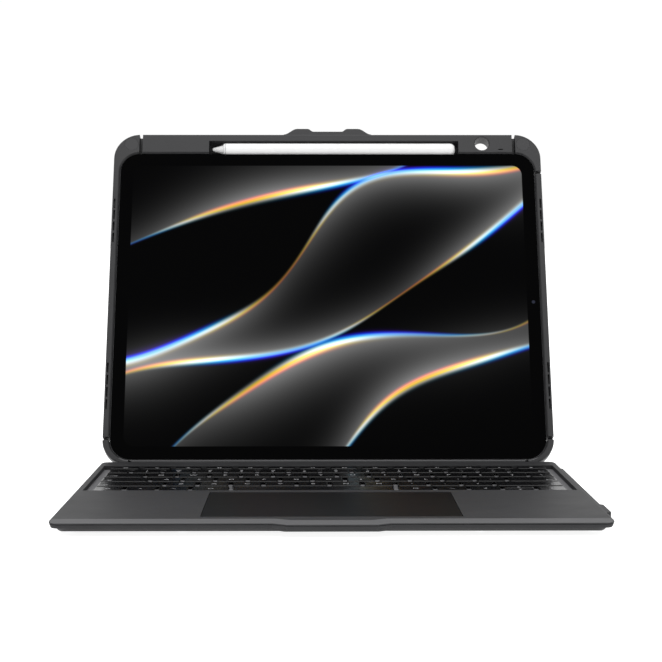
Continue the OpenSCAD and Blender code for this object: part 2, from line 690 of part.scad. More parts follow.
module stylus_room() {
    length = channel_right - channel_left;
    translate([channel_left, stylus_y, stylus_z]) rotate([0, 90, 0])
        cylinder(r = channel_r, h = length);
    span([channel_left, stylus_y - channel_r, stylus_z], [channel_right, channel_hi, 1]);
}

// The rim is everything in front of the back wall and round the tablet
module rim_ring() difference() {
    intersection() {
        case_form();
        span([-far, -far, floor_z], [far, far, 1]);
    }
    tablet_room();
}

// A blind slit with round ends, cut down into the front face
module front_slit(x, y, w, h, depth) soft_block(x - w / 2, x + w / 2, y - h / 2, y + h / 2,
    -depth, 1, min(w, h) / 2 - eps);

speaker_len = 7;
speaker_pitch = 8.3;
speaker_first = 37;
speaker_x = case_half - 1.65;
module speaker_slits(s) for (i = [0 : 3]) for (end = [0, 1])
    front_slit(s * speaker_x, end == 0 ? tablet_lo + speaker_first + i * speaker_pitch
        : tablet_hi - speaker_first - i * speaker_pitch, 1.1, speaker_len, 3.2);

// Small holes through the back wall at the inner end of each slot
module slot_vents() {
    for (x = [-slot_x, slot_x]) {
        span([x - slot_w / 2, tablet_hi + slip, case_back - 1],
            [x + slot_w / 2, tablet_hi + slip + 1.6, 1]);
        span([x - slot_w / 2, tablet_lo - slip - 1.2, case_back - 1],
            [x + slot_w / 2, tablet_lo - slip, 1]);
    }
    for (p = [[1, side_slot_hi], [1, side_slot_lo], [-1, side_slot_lo]])
        translate([p[0] * (tablet_w / 2 + slip + 0.8), p[1], 0])
            span([-0.8, -slot_w / 2, case_back - 1], [0.8, slot_w / 2, 1]);
}

leaf_hi = stand_hinge_v + 13;
leaf_t = 1;
leaf_screws = [[-4.5, 6.2], [4.5, 6.2]];
leaf_screw_r = 0.8;

// Where each leaf of the stand's hinges sits
module leaf_places() for (s = [-1, 1]) translate([s * stand_hinge_x, stand_hinge_v, stand_z])
    children();

port_cut_y = tablet_mid;
port_cut_half = 7;
port_cut_z = glass_z - tablet_t / 2 - 1;
port_cut_r = 3.2;

// The opening in the right rim for the tablet's own charging plug
module plug_room() translate([tablet_w / 2 + slip - eps, port_cut_y, port_cut_z])
    rotate([90, 0, 90]) linear_extrude(10)
        soft_rect(-port_cut_half, port_cut_half, -port_cut_r, port_cut_r, port_cut_r - 0.2);

module back_shell() color(charcoal) on_case() difference() {
    intersection() {
        case_form();
        span([-far, -far, case_back - 1], [far, far, floor_z]);
    }
    stylus_room();
    slot_vents();
    plug_room();
    // the block that carries the lanyard hole belongs to the top rail
    span([lanyard_x - 7, lanyard_y - 6.2, case_back - 1], [lanyard_x + 7, case_hi + 1, 0]);
    // camera opening, with a seat for its ring
    soft_block(camera_x - camera_w / 2 - 1 - camera_ring_w, camera_x + camera_w / 2 + 1
        + camera_ring_w, camera_y - camera_w / 2 - 1 - camera_ring_w, camera_y + camera_w / 2 + 1
        + camera_ring_w, case_back - 1, 0, 9 + camera_ring_w);
    // the recess that the folded stand lies in, open at the bottom edge
    span([-stand_w / 2 - 0.8, case_lo - 1, case_back - 1],
        [stand_w / 2 + 0.8, stand_pocket_hi, stand_pocket_z]);
    // grooves for the hinge barrels, seats and screw holes for the hinge leaves
    leaf_places() {
        translate([-barrel_end - 0.4, 0, 0]) rotate([0, 90, 0])
            cylinder(r = stand_barrel_r + 0.2, h = 2 * barrel_end + 0.8);
        span([-leaf_half - 0.1, 0, case_back - 1 - stand_z],
            [leaf_half + 0.1, leaf_hi - stand_hinge_v + 0.1, leaf_t - stand_barrel_r + 0.05]);
        for (p = leaf_screws) translate([p[0], p[1], -2]) cylinder(r = leaf_screw_r, h = 4.2);
    }
    // finger scoop under the stand's lower left corner
    translate([-stand_w / 2, 22, case_back - 2]) cylinder(r = 9, h = 2 + 1.6);
}

module liner_pad() color("#3a3a3c") on_case() difference() {
    soft_block(-tablet_w / 2 + 1, tablet_w / 2 - 1, tablet_lo + 1, tablet_hi - 1, floor_z,
        liner_top, tablet_r - 1);
    soft_block(camera_x - camera_w / 2 - 3, camera_x + camera_w / 2 + 3,
        camera_y - camera_w / 2 - 3, camera_y + camera_w / 2 + 3, floor_z - 1, 0, 10);
}

module camera_ring() color(soft_black) on_case() difference() {
    h = camera_w / 2 + 1;
    soft_block(camera_x - h - camera_ring_w, camera_x + h + camera_ring_w,
        camera_y - h - camera_ring_w, camera_y + h + camera_ring_w, case_back - 0.5, floor_z,
        9 + camera_ring_w);
    soft_block(camera_x - h, camera_x + h, camera_y - h, camera_y + h, case_back - 1, 1, 9);
}

// The part of the rim inside a box seen from the front
module rim_part(x0, x1, y0, y1) intersection() {
    rim_ring();
    span([x0, y0, floor_z - 1], [x1, y1, 2]);
}

module horns() {
    foot = 30;
    tip_out = 20.8;
    tip_in = 13.5;
    saddle = 9.7;
    saddle_h = 2.2;
    translate([0, case_hi, horn_back]) linear_extrude(-0.3 - horn_back)
        polygon(concat([[-foot, -1]], ramp(-foot, 0, -tip_out, horn_h),
            ramp(-tip_in, horn_h, -saddle, saddle_h), ramp(saddle, saddle_h, tip_in, horn_h),
            ramp(tip_out, horn_h, foot, 0), [[foot, -1]]));
}

// A plain button: a cap flush with the outside and a stem that reaches the tablet
button_travel = 0.4;
volume_xs = [32.6 - case_half, 48.6 - case_half];
volume_half = 6;
button_z = glass_z - tablet_t / 2;
button_h = 1.7;
power_y = side_slot_hi - 18;
power_half = 7;
cap_h = 3;
power_cap_h = 2;
cap_room = button_travel + 0.2;
stem_half = 3;

module volume_button(x) {
    span([x - volume_half, case_hi - cap_h, button_z - button_h],
        [x + volume_half, case_hi, button_z + button_h]);
    span([x - stem_half, tablet_hi + rest_gap + button_travel, button_z - 1],
        [x + stem_half, case_hi - cap_h / 2, button_z + 1]);
}

// The recess it moves in, and the slot of its stem
module volume_room(x) {
    span([x - volume_half - slip, case_hi - cap_h - cap_room, button_z - button_h - slip],
        [x + volume_half + slip, case_hi + 1, button_z + button_h + slip]);
    span([x - stem_half - slip, tablet_hi - 1, button_z - 1 - slip],
        [x + stem_half + slip, case_hi - cap_h / 2, button_z + 1 + slip]);
}

module power_cap() {
    span([-case_half, power_y - power_half, button_z - button_h],
        [-case_half + power_cap_h, power_y + power_half, button_z + button_h]);
    span([-case_half + power_cap_h / 2, power_y - stem_half, button_z - 1],
        [-tablet_w / 2 - rest_gap - button_travel, power_y + stem_half, button_z + 1]);
}

module power_room() {
    span([-case_half - 1, power_y - power_half - slip, button_z - button_h - slip],
        [-case_half + power_cap_h + cap_room, power_y + power_half + slip,
            button_z + button_h + slip]);
    span([-case_half + power_cap_h / 2, power_y - stem_half - slip, button_z - 1 - slip],
        [-tablet_w / 2, power_y + stem_half + slip, button_z + 1 + slip]);
}

module top_rail() color(charcoal) on_case() difference() {
    union() {
        rim_part(-slot_x + slot_w / 2, slot_x - slot_w / 2, tablet_hi, case_hi + 20);
        intersection() {
            case_form();
            span([lanyard_x - 7, lanyard_y - 6.2, case_back - 1],
                [lanyard_x + 7, case_hi + 1, -1]);
        }
        difference() {
            horns();
            span([-far, 0, case_back - 1], [far, far, floor_z]);
        }
    }
    stylus_room();
    translate([lanyard_x, lanyard_y, case_back - 1]) cylinder(r = lanyard_r, h = 20);
    translate([lanyard_x, lanyard_y, -0.5]) cylinder(r1 = lanyard_r, r2 = lanyard_r + 1, h = 1);
    front_slit(118.4, tablet_hi + 3.1, 3.4, 0.8, 2);
    for (x = volume_xs) volume_room(x);
}

module bottom_rail() color(charcoal) on_case() difference() {
    rim_part(-slot_x + slot_w / 2, slot_x - slot_w / 2, case_lo - 1, tablet_lo + 5);
    for (x = dock_magnet_xs) span([x - dock_magnet_len / 2 - 0.1, case_lo - 1, peg_z - 2.1],
        [x + dock_magnet_len / 2 + 0.1, case_lo + 1.5, peg_z + 2.1]);
    for (x = peg_xs) translate([x, case_lo - 1, peg_z]) rotate([-90, 0, 0])
        cylinder(r = peg_r + slip, h = 2.3);
}

module case_magnets() color("#a6a9ad") on_case() for (x = dock_magnet_xs)
    span([x - dock_magnet_len / 2, case_lo, peg_z - 2],
        [x + dock_magnet_len / 2, case_lo + 1.5, peg_z + 2]);

module cap_pocket(s) {
    translate([s * cap_x, cap_y, -1]) cylinder(r = cap_r + 0.1, h = 2);
    translate([s * cap_x, cap_y, -3.6]) cylinder(r = cap_r - 0.6, h = 4);
}

module left_rail() color(charcoal) on_case() difference() {
    rim_part(-far, -slot_x - slot_w / 2, side_slot_lo + slot_w / 2, case_hi + 1);
    speaker_slits(-1);
    cap_pocket(-1);
    power_room();
}

module right_rail() color(charcoal) on_case() difference() {
    rim_part(tablet_w / 2 - 5, far, side_slot_lo + slot_w / 2, side_slot_hi - slot_w / 2);
    speaker_slits(1);
    plug_room();
}

module top_right_corner() color(charcoal) on_case() difference() {
    rim_part(slot_x + slot_w / 2, far, side_slot_hi + slot_w / 2, case_hi + 1);
    cap_pocket(1);
}

module bottom_left_corner() color(charcoal) on_case()
    rim_part(-far, -slot_x - slot_w / 2, case_lo - 1, side_slot_lo - slot_w / 2);

module bottom_right_corner() color(charcoal) on_case()
    rim_part(slot_x + slot_w / 2, far, case_lo - 1, side_slot_lo - slot_w / 2);

module closure_caps() color(charcoal) on_case() for (s = [-1, 1])
    translate([s * cap_x, cap_y, -1]) cylinder(r = cap_r, h = 0.95);

module closure_magnets() color("#a6a9ad") on_case() for (s = [-1, 1])
    translate([s * cap_x, cap_y, -3.6]) cylinder(r = cap_r - 0.7, h = 2.6);

module power_button() color(soft_black) on_case() power_cap();
module volume_up() color(soft_black) on_case() volume_button(volume_xs[0]);
module volume_down() color(soft_black) on_case() volume_button(volume_xs[1]);

// ---- Stand ----

module stand_hinges() color("#5c5e61") on_case() leaf_places() difference() {
    union() {
        span([-leaf_half, 0.6, -stand_barrel_r], [leaf_half, leaf_hi - stand_hinge_v,
            leaf_t - stand_barrel_r]);
        translate([-leaf_half, 0, 0]) rotate([0, 90, 0])
            cylinder(r = stand_barrel_r, h = 2 * leaf_half);
    }
    translate([-leaf_half - 1, 0, 0]) rotate([0, 90, 0])
        cylinder(r = pin_r + pin_fit, h = 2 * leaf_half + 2);
    for (p = leaf_screws) translate([p[0], p[1], -3]) cylinder(r = leaf_screw_r + 0.1, h = 4);
}

module hinge_screws() color("#8d8f92") on_case() leaf_places() for (p = leaf_screws)
    translate([p[0], p[1], -stand_barrel_r - 0.05]) cylinder(r = leaf_screw_r, h = 3);

module stand_pins() color("#c4c7ca") on_case() leaf_places()
    translate([-barrel_end + 0.2, 0, 0]) rotate([0, 90, 0])
        cylinder(r = pin_r, h = 2 * barrel_end - 0.4, $fn = 32);

// The folding panel, drawn in the hinge's own frame with its foot towards -y
module stand_panel() color(charcoal) on_stand() difference() {
    union() {
        soft_block(-stand_w / 2, stand_w / 2, -stand_len + 1.6, stand_edge - stand_hinge_v,
            -stand_barrel_r, stand_in, 1.5);
        for (s = [-1, 1]) for (e = [-1, 1]) translate([s * stand_hinge_x + e * (leaf_half + slip
            + barrel_end) / 2, 0, 0]) {
            half = (barrel_end - leaf_half - slip) / 2;
            translate([-half, 0, 0]) rotate([0, 90, 0]) cylinder(r = stand_barrel_r, h = 2 * half);
            span([-half, -3, -stand_barrel_r], [half, 0, 0]);
        }
    }
    // room for the hinge leaves, and the bores of the pins
    for (s = [-1, 1]) {
        span([s * stand_hinge_x - leaf_half - slip, -3.4, -5],
            [s * stand_hinge_x + leaf_half + slip, 5, 5]);
        translate([s * stand_hinge_x - barrel_end - 1, 0, 0]) rotate([0, 90, 0])
            cylinder(r = pin_r + pin_fit, h = 2 * barrel_end + 2);
    }
    // shallow panel line round the face
    difference() {
        soft_block(-stand_w / 2 + 7, stand_w / 2 - 7, -stand_len + 9, -12, -stand_barrel_r - 1,
            -stand_barrel_r + 0.35, 5);
        soft_block(-stand_w / 2 + 8, stand_w / 2 - 8, -stand_len + 10, -13, -stand_barrel_r - 2,
            -stand_barrel_r + 1, 4);
    }
}

// The rubber strip along the panel's lower edge
module stand_foot() color("#262626") on_stand()
    soft_block(-stand_w / 2 + 12, stand_w / 2 - 12, -stand_len, -stand_len + 1.6,
        -stand_barrel_r, stand_in, 0.4);

// ================= Tablet and stylus =================

glass_t = 0.5;
tablet_edge = [[1, tablet_back], [0.25, tablet_back + 0.4], [0, tablet_back + 1.2],
    [0, glass_z - glass_t]];

module tablet_body() color("#8b8d90") on_case() difference() {
    eased_plate(tablet_w / 2, tablet_lo, tablet_hi, tablet_r, tablet_r, tablet_edge);
    // charging socket in the right side
    translate([tablet_w / 2 - 7, port_cut_y, glass_z - tablet_t / 2]) rotate([90, 0, 90])
        linear_extrude(8) soft_rect(-4.5, 4.5, -1.5, 1.5, 1.4);
}

module tablet_glass() color("#0a0a0b") on_case()
    soft_block(-tablet_w / 2 + 0.2, tablet_w / 2 - 0.2, tablet_lo + 0.2, tablet_hi - 0.2,
        glass_z - glass_t, glass_z, tablet_r - 0.2);

module camera_block() color("#77797c") on_case() {
    h = camera_w / 2;
    soft_block(camera_x - h, camera_x + h, camera_y - h, camera_y + h, tablet_back - camera_h,
        tablet_back, 8);
}

lens_places = [[-7.5, 7.5, 7], [7.5, -7.5, 6], [8, 8.5, 3.2], [-8, -8, 1.2]];
module camera_lenses() color("#111113") on_case() for (p = lens_places)
    translate([camera_x + p[0], camera_y + p[1], tablet_back - camera_h - 0.8])
        cylinder(r = p[2], h = 0.8);

tip_len = 9;
nib_r = 1.25;
end_dome = 3.4;
shoulder = 1.8;
shoulder_r = 3.1;

module stylus_barrel() color("#f2f2f0") on_case()
    translate([stylus_x - stylus_len / 2, stylus_y, stylus_z]) rotate([0, 90, 0])
        rotate_extrude() polygon(concat([[0, tip_len]], [[stylus_d / 2, tip_len]],
            [for (a = [0 : 15 : 90]) [stylus_d / 2 - end_dome * (1 - cos(a)),
                stylus_len - end_dome * (1 - sin(a))]], [[0, stylus_len]]));

module stylus_tip() color("#e9e9e7") on_case()
    translate([stylus_x - stylus_len / 2, stylus_y, stylus_z]) rotate([0, 90, 0])
        rotate_extrude() polygon(concat([[0, 0], [nib_r * 0.6, 0.1], [nib_r, 0.6]],
            [for (a = [0 : 15 : 90]) [shoulder_r + (stylus_d / 2 - shoulder_r) * sin(a),
                tip_len - shoulder * cos(a)]], [[0, tip_len]]));

// ================= The parts =================

top_deck();
bottom_tray();
key_plate();
key_membrane();
light_guide();
rubber_domes();
function_keys();
number_keys();
upper_letter_keys();
home_keys();
lower_letter_keys();
modifier_keys();
space_bar();
arrow_keys();
trackpad();
trackpad_bracket();
trackpad_switch();
batteries();
main_board();
charge_port();
power_switch();
front_magnets();
tray_screws();
rubber_feet();
hinge_pins();
dock_bar();
dock_magnets();
back_shell();
liner_pad();
top_rail();
bottom_rail();
left_rail();
right_rail();
top_right_corner();
bottom_left_corner();
bottom_right_corner();
case_magnets();
closure_caps();
closure_magnets();
power_button();
volume_up();
volume_down();
camera_ring();
stand_hinges();
hinge_screws();
stand_pins();
stand_panel();
stand_foot();
tablet_body();
tablet_glass();
camera_block();
camera_lenses();
stylus_barrel();
stylus_tip();
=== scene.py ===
import json
import math

import bmesh
import bpy
from mathutils import Matrix, Vector


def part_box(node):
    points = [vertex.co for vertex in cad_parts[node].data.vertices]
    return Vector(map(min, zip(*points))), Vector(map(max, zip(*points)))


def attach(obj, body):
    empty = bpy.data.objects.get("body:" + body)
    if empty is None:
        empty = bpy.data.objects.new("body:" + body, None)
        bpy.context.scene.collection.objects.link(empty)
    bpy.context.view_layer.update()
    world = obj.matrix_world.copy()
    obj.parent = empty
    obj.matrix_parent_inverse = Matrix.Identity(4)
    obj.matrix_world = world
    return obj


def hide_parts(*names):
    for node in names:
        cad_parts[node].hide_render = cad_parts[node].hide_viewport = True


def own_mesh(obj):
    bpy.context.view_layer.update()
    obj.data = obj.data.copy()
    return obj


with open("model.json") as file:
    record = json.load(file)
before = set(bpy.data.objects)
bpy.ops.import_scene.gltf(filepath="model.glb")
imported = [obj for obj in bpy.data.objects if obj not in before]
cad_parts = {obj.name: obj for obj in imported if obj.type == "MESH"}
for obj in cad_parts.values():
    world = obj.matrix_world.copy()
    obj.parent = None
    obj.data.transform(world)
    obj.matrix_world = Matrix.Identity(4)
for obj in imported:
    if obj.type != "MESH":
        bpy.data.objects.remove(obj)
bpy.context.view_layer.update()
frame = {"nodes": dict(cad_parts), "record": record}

scene = bpy.context.scene
MM = 0.001

# ---- Places taken over from the part's source, in millimetres ----
# Those of the keyboard are measured from the fold line, those of the case up the case from it
TILT = math.radians(22.7)
DECK_Z = 8.2
KEY_FIELD_W = 273.7
# Width of one key unit, of which the key field holds 14.15
KEY_U = KEY_FIELD_W / 14.15
KEY_GAP = 2.4
KEY_TOP = 7.9
KEY_H = 1.0
PLATE_Z = 5.6
ROW_D = 18.3
FUNCTION_ROW_D = 10.9
KEY_REAR = -21.2
TABLET_W = 281.6
TABLET_H = 215.5
TABLET_LO = 1.5
TABLET_HI = TABLET_LO + TABLET_H
TABLET_MID = TABLET_LO + TABLET_H / 2
TABLET_BACK = -6.1
# Distance of the camera block from the tablet's edges, half its width, and how far it and its
# lenses stand out
CAMERA_EDGE = 8
CAMERA_HALF = 18
CAMERA_H = 2.3
LENS_OUT = 0.8
CAMERA_X = -(TABLET_W / 2 - CAMERA_EDGE - CAMERA_HALF)
CAMERA_Y = TABLET_HI - CAMERA_EDGE - CAMERA_HALF
LENS_FACE = TABLET_BACK - CAMERA_H - LENS_OUT
# Place of each lens from the block's middle, and its radius
LENSES = ((-7.5, 7.5, 7.0), (7.5, -7.5, 6.0), (8.0, 8.5, 3.2))
STYLUS_MID = 4.3
STYLUS_LEN = 166
STYLUS_TIP_LEN = 9
STYLUS_JOINT_X = STYLUS_MID - STYLUS_LEN / 2 + STYLUS_TIP_LEN
# The fold line's own place comes from the rear edge of the keys
FOLD_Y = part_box("function_keys")[1].y / MM - (KEY_REAR - KEY_GAP / 2)

ON_KEYBOARD = Matrix.Translation((0, FOLD_Y * MM, 0)) @ Matrix.Scale(MM, 4)
ON_CASE = (Matrix.Translation((0, FOLD_Y * MM, DECK_Z * MM))
           @ Matrix.Rotation(math.pi / 2 - TILT, 4, "X") @ Matrix.Scale(MM, 4))
BODY_OF = {node: body for body, nodes in frame["record"]["behaviour"]["bodies"].items()
           for node in nodes}


# ================= Camera =================

# Found by fitting the tablet's corners and the edges of case, deck and trackpad to the photo.
# The place is in metres, its y from the fold line; the view turns down and to the right.
VIEW_FROM = (-0.00864, -1.10479, 0.15508)
VIEW_DOWN = math.radians(3.2765)
VIEW_RIGHT = math.radians(0.531)
FOCAL_LENGTH = 94.34
SENSOR_WIDTH = 36


def make_camera():
    data = bpy.data.cameras.new("camera")
    cam = bpy.data.objects.new("camera", data)
    scene.collection.objects.link(cam)
    data.sensor_width = SENSOR_WIDTH
    data.lens = FOCAL_LENGTH
    data.clip_start = 0.02
    data.clip_end = 100
    x, y, z = VIEW_FROM
    cam.location = (x, y + FOLD_Y * MM, z)
    cam.rotation_euler = (math.pi / 2 - VIEW_DOWN, 0, -VIEW_RIGHT)
    scene.camera = cam


# ================= Materials =================

class Term:
    """A number in a shader, so that formulas can be written as such."""

    def __init__(self, tree, socket):
        self.tree, self.socket = tree, socket

    def math(self, operation, *others):
        node = self.tree.nodes.new("ShaderNodeMath")
        node.operation = operation
        for i, value in enumerate((self,) + others):
            if isinstance(value, Term):
                self.tree.links.new(value.socket, node.inputs[i])
            else:
                node.inputs[i].default_value = value
        return Term(self.tree, node.outputs[0])

    def __add__(self, other): return self.math("ADD", other)
    def __sub__(self, other): return self.math("SUBTRACT", other)
    def __mul__(self, other): return self.math("MULTIPLY", other)
    def __truediv__(self, other): return self.math("DIVIDE", other)
    def __neg__(self): return self.math("MULTIPLY", -1.0)
    def __pow__(self, other): return self.math("POWER", other)


def new_material(name):
    material = bpy.data.materials.new(name)
    material.use_nodes = True
    tree = material.node_tree
    return material, tree, shader_of(material)


def shader_of(material):
    return material.node_tree.nodes["Principled BSDF"]


def coords_of(tree, kind="Object"):
    return tree.nodes.new("ShaderNodeTexCoord").outputs[kind]


def split_xyz(tree, socket):
    """The three parts of a vector, each as a Term."""
    node = tree.nodes.new("ShaderNodeSeparateXYZ")
    tree.links.new(socket, node.inputs[0])
    return [Term(tree, output) for output in node.outputs]


def vector_math(tree, operation, first, second, into=1):
    """Two sockets joined by a vector operation; into names the second one's input."""
    node = tree.nodes.new("ShaderNodeVectorMath")
    node.operation = operation
    tree.links.new(first, node.inputs[0])
    tree.links.new(second, node.inputs[into])
    return node.outputs["Value" if operation == "DOT_PRODUCT" else "Vector"]


def noise(tree, coords, scale, detail=4.0, roughness=0.55):
    node = tree.nodes.new("ShaderNodeTexNoise")
    node.inputs["Scale"].default_value = scale
    node.inputs["Detail"].default_value = detail
    node.inputs["Roughness"].default_value = roughness
    tree.links.new(coords, node.inputs["Vector"])
    return node.outputs["Fac"]


def remap(tree, socket, lo, hi, from_lo=0.3, from_hi=0.7):
    node = tree.nodes.new("ShaderNodeMapRange")
    node.inputs["From Min"].default_value = from_lo
    node.inputs["From Max"].default_value = from_hi
    node.inputs["To Min"].default_value = lo
    node.inputs["To Max"].default_value = hi
    tree.links.new(socket, node.inputs["Value"])
    return node.outputs["Result"]


def blend_colour(tree, factor, dark, light):
    node = tree.nodes.new("ShaderNodeMix")
    node.data_type = "RGBA"
    for key, value in (("A", dark), ("B", light)):
        if isinstance(value, tuple):
            node.inputs[key].default_value = (*value, 1)
        else:
            tree.links.new(value, node.inputs[key])
    tree.links.new(factor, node.inputs["Factor"])
    return node.outputs["Result"]


def round_edges(tree, radius):
    """The normal with its edges rounded, and how much a point lies on an edge, from 0 to 1."""
    bevel = tree.nodes.new("ShaderNodeBevel")
    bevel.samples = 4
    bevel.inputs["Radius"].default_value = radius * MM
    geometry = tree.nodes.new("ShaderNodeNewGeometry")
    flatness = vector_math(tree, "DOT_PRODUCT", bevel.outputs["Normal"],
                           geometry.outputs["Normal"])
    return bevel.outputs["Normal"], remap(tree, flatness, 1, 0, 0.86, 0.995)


def surface(name, colour, rough, spread=0.12, rough_spread=0.06, grain=1800, depth=0.02,
            patch=60, metallic=0.0, stretch=(1, 1, 1), edge=0.0, edge_radius=0.25, **sockets):
    """A surface with a fine grain, a colour and gloss that vary a little over it, and edges that
    are softly rounded and lighter by the share that edge gives: partly wear, partly a painted
    highlight."""
    material, tree, shader = new_material(name)
    coords = coords_of(tree)
    mapping = tree.nodes.new("ShaderNodeMapping")
    mapping.inputs["Scale"].default_value = stretch
    tree.links.new(coords, mapping.inputs["Vector"])
    fine = noise(tree, mapping.outputs["Vector"], grain, 2.0)
    broad = noise(tree, coords, patch, 5.0)
    both = Term(tree, fine) * 0.45 + Term(tree, broad) * 0.55
    dark = tuple(c * (1 - spread) for c in colour)
    light = tuple(min(1, c * (1 + spread)) for c in colour)
    tone = remap(tree, both.socket, 0, 1, 0.38, 0.62)
    base = blend_colour(tree, tone, dark, light)
    bump = tree.nodes.new("ShaderNodeBump")
    bump.inputs["Strength"].default_value = 1.0
    bump.inputs["Distance"].default_value = depth * MM
    tree.links.new(fine, bump.inputs["Height"])
    if edge:
        normal, mask = round_edges(tree, edge_radius)
        tree.links.new(normal, bump.inputs["Normal"])
        # lighter colour along the edges, patchy with the broad noise: partly wear, partly a
        # painted highlight
        edge_wear_and_highlight = Term(tree, mask) * Term(tree, remap(tree, broad, 0.45, 1))
        base = blend_colour(tree, edge_wear_and_highlight.socket, base,
                            tuple(min(1, c * (1 + edge) + 0.004) for c in colour))
    tree.links.new(base, shader.inputs["Base Color"])
    tree.links.new(remap(tree, broad, rough - rough_spread, rough + rough_spread),
                   shader.inputs["Roughness"])
    tree.links.new(bump.outputs["Normal"], shader.inputs["Normal"])
    shader.inputs["Metallic"].default_value = metallic
    for key, value in sockets.items():
        shader.inputs[key.replace("_", " ")].default_value = value
    return material


def paint_over(material, mask, colour):
    """Lays a colour over a material's own where the mask is 1."""
    tree, target = material.node_tree, shader_of(material).inputs["Base Color"]
    base = target.links[0].from_socket
    tree.links.new(blend_colour(tree, mask, base, colour), target)


def on_screen(tree):
    """Places on the glass in millimetres from the screen's middle: right, and up the tablet."""
    x, y, z = (part / MM for part in split_xyz(tree, coords_of(tree)))
    up = (y - FOLD_Y) * math.sin(TILT) + (z - DECK_Z) * math.cos(TILT) - TABLET_MID
    return x, up


def colour_run(tree, factor, stops):
    ramp = tree.nodes.new("ShaderNodeValToRGB")
    while len(ramp.color_ramp.elements) < len(stops):
        ramp.color_ramp.elements.new(0.5)
    for element, (place, colour) in zip(ramp.color_ramp.elements, stops):
        element.position = place
        element.color = (*colour, 1)
    tree.links.new(factor, ramp.inputs["Fac"])
    return ramp.outputs["Color"]


# Colours across a band's fringe
FRINGE = ((0.0, (0.02, 0.0, 0.12)), (0.14, (0.01, 0.03, 0.85)), (0.3, (0.03, 0.45, 1.0)),
          (0.42, (0.6, 0.95, 1.0)), (0.52, (1.0, 1.0, 0.95)), (0.64, (1.0, 0.8, 0.12)),
          (0.78, (1.0, 0.33, 0.02)), (0.9, (0.5, 0.03, 0.01)), (1.0, (0.06, 0.0, 0.01)))

# Each flowing band: height, swing, length of the swing, phase, width, sheen, side, colour phase
BANDS = ((-92, 17, 46, 0.6, 1.5, 13, 1, 0.4), (-46, 22, 52, 2.5, 1.9, 17, -1, 2.1),
         (-4, 19, 61, 4.4, 1.4, 12, 1, 3.6), (38, 24, 49, 0.2, 2.1, 16, -1, 5.0),
         (84, 16, 57, 3.2, 1.6, 14, 1, 1.2))
# How steeply the bands run across the screen
SLANT = math.radians(27)
# Width of the black border, radius of the picture's corners, and how far in from the right edge
# of the glass the small front camera looks out
BORDER = 8.6
PICTURE_R = 7.0
FRONT_CAMERA_IN = 4.6


def screen_material():
    """Black cover glass over a lit screen: slanted bands of light that flow over black, with
    coloured fringes, inside a black border."""
    material, tree, shader = new_material("tablet_glass")
    right, up = on_screen(tree)
    along = right * math.cos(SLANT) + up * math.sin(SLANT)
    across = up * math.cos(SLANT) - right * math.sin(SLANT)
    lit = None
    for height, swing, length, phase, width, sheen, side, tint in BANDS:
        turn = along / length + phase
        bend = (turn * 2.0 + tint).math("SINE") * (swing * 0.22)
        middle = turn.math("SINE") * swing + bend + height
        steep = turn.math("COSINE") * (swing / length)
        off = (across - middle) / ((steep * steep) + 1.0).math("SQRT")
        # the band's bright core swells and thins along its length, and a faint veil of light
        # falls away from it on one side
        strength = (along / 37.0 + tint).math("SINE") * 0.42 + 0.58
        thick = strength * (width * 1.3) + 0.35
        core = (-(off / thick) ** 2.0).math("EXPONENT") * strength
        veil = (-(off.math("ABSOLUTE")) / (sheen * 0.55)).math("EXPONENT") * (
            (off * side / 0.8).math("TANH") * 0.5 + 0.5)
        veil = veil * strength * 0.3
        hue = (along / 31.0 + tint * 1.7).math("SINE") * 0.30 + off * (0.085 * side) + 0.5
        fringe = colour_run(tree, hue.socket, FRINGE)
        glow = vector_math(tree, "SCALE", fringe, (core * 1.25).socket, "Scale")
        band = vector_math(tree, "ADD", glow, veil.socket)
        lit = band if lit is None else vector_math(tree, "ADD", lit, band)
    # the border round the picture, with round corners
    dx = (right.math("ABSOLUTE") - (TABLET_W / 2 - BORDER - PICTURE_R)).math("MAXIMUM", 0.0)
    dy = (up.math("ABSOLUTE") - (TABLET_H / 2 - BORDER - PICTURE_R)).math("MAXIMUM", 0.0)
    edge = (dx * dx + dy * dy).math("SQRT")
    inside = remap(tree, edge.socket, 1, 0, PICTURE_R - 0.4, PICTURE_R)
    shown = vector_math(tree, "SCALE", lit, inside, "Scale")
    # the small front camera, level with the screen's middle
    aside = right - (TABLET_W / 2 - FRONT_CAMERA_IN)
    eye = remap(tree, (aside * aside + up * up).math("SQRT").socket, 1, 0, 0.9, 1.3)
    tree.links.new(blend_colour(tree, eye, (0.0004, 0.0004, 0.0005), (0.02, 0.022, 0.035)),
                   shader.inputs["Base Color"])
    tree.links.new(shown, shader.inputs["Emission Color"])
    shader.inputs["Emission Strength"].default_value = 1.0
    smear = noise(tree, coords_of(tree), 35, 5.0, 0.6)
    tree.links.new(remap(tree, smear, 0.03, 0.09), shader.inputs["Roughness"])
    shader.inputs["Specular IOR Level"].default_value = 0.02
    return material


def stylus_material():
    """Satin white with a faint painted glow, and the thin joint line between the barrel and its
    tip.
    """
    material = surface("stylus", (0.64, 0.64, 0.64), 0.28, 0.02, depth=0.002, edge=0.02,
                       edge_radius=0.1)
    tree = material.node_tree
    x = split_xyz(tree, coords_of(tree))[0] / MM
    gap = (x - (STYLUS_JOINT_X + 0.12)).math("ABSOLUTE")
    paint_over(material, remap(tree, gap.socket, 1, 0, 0.16, 0.26), (0.16, 0.16, 0.17))
    # a faint white glow lightens the stylus's shaded underside: painted light, the stylus is no
    # lamp
    shader_of(material).inputs["Emission Color"].default_value = (1, 1, 1, 1)
    shader_of(material).inputs["Emission Strength"].default_value = 0.1
    return material


SHELL = (0.021, 0.021, 0.0223)
# Painted highlight: a lighter colour for faces that slope a little forward, where the deck's
# front edge catches the light
FRONT_EDGE_HIGHLIGHT = (0.085, 0.085, 0.088)


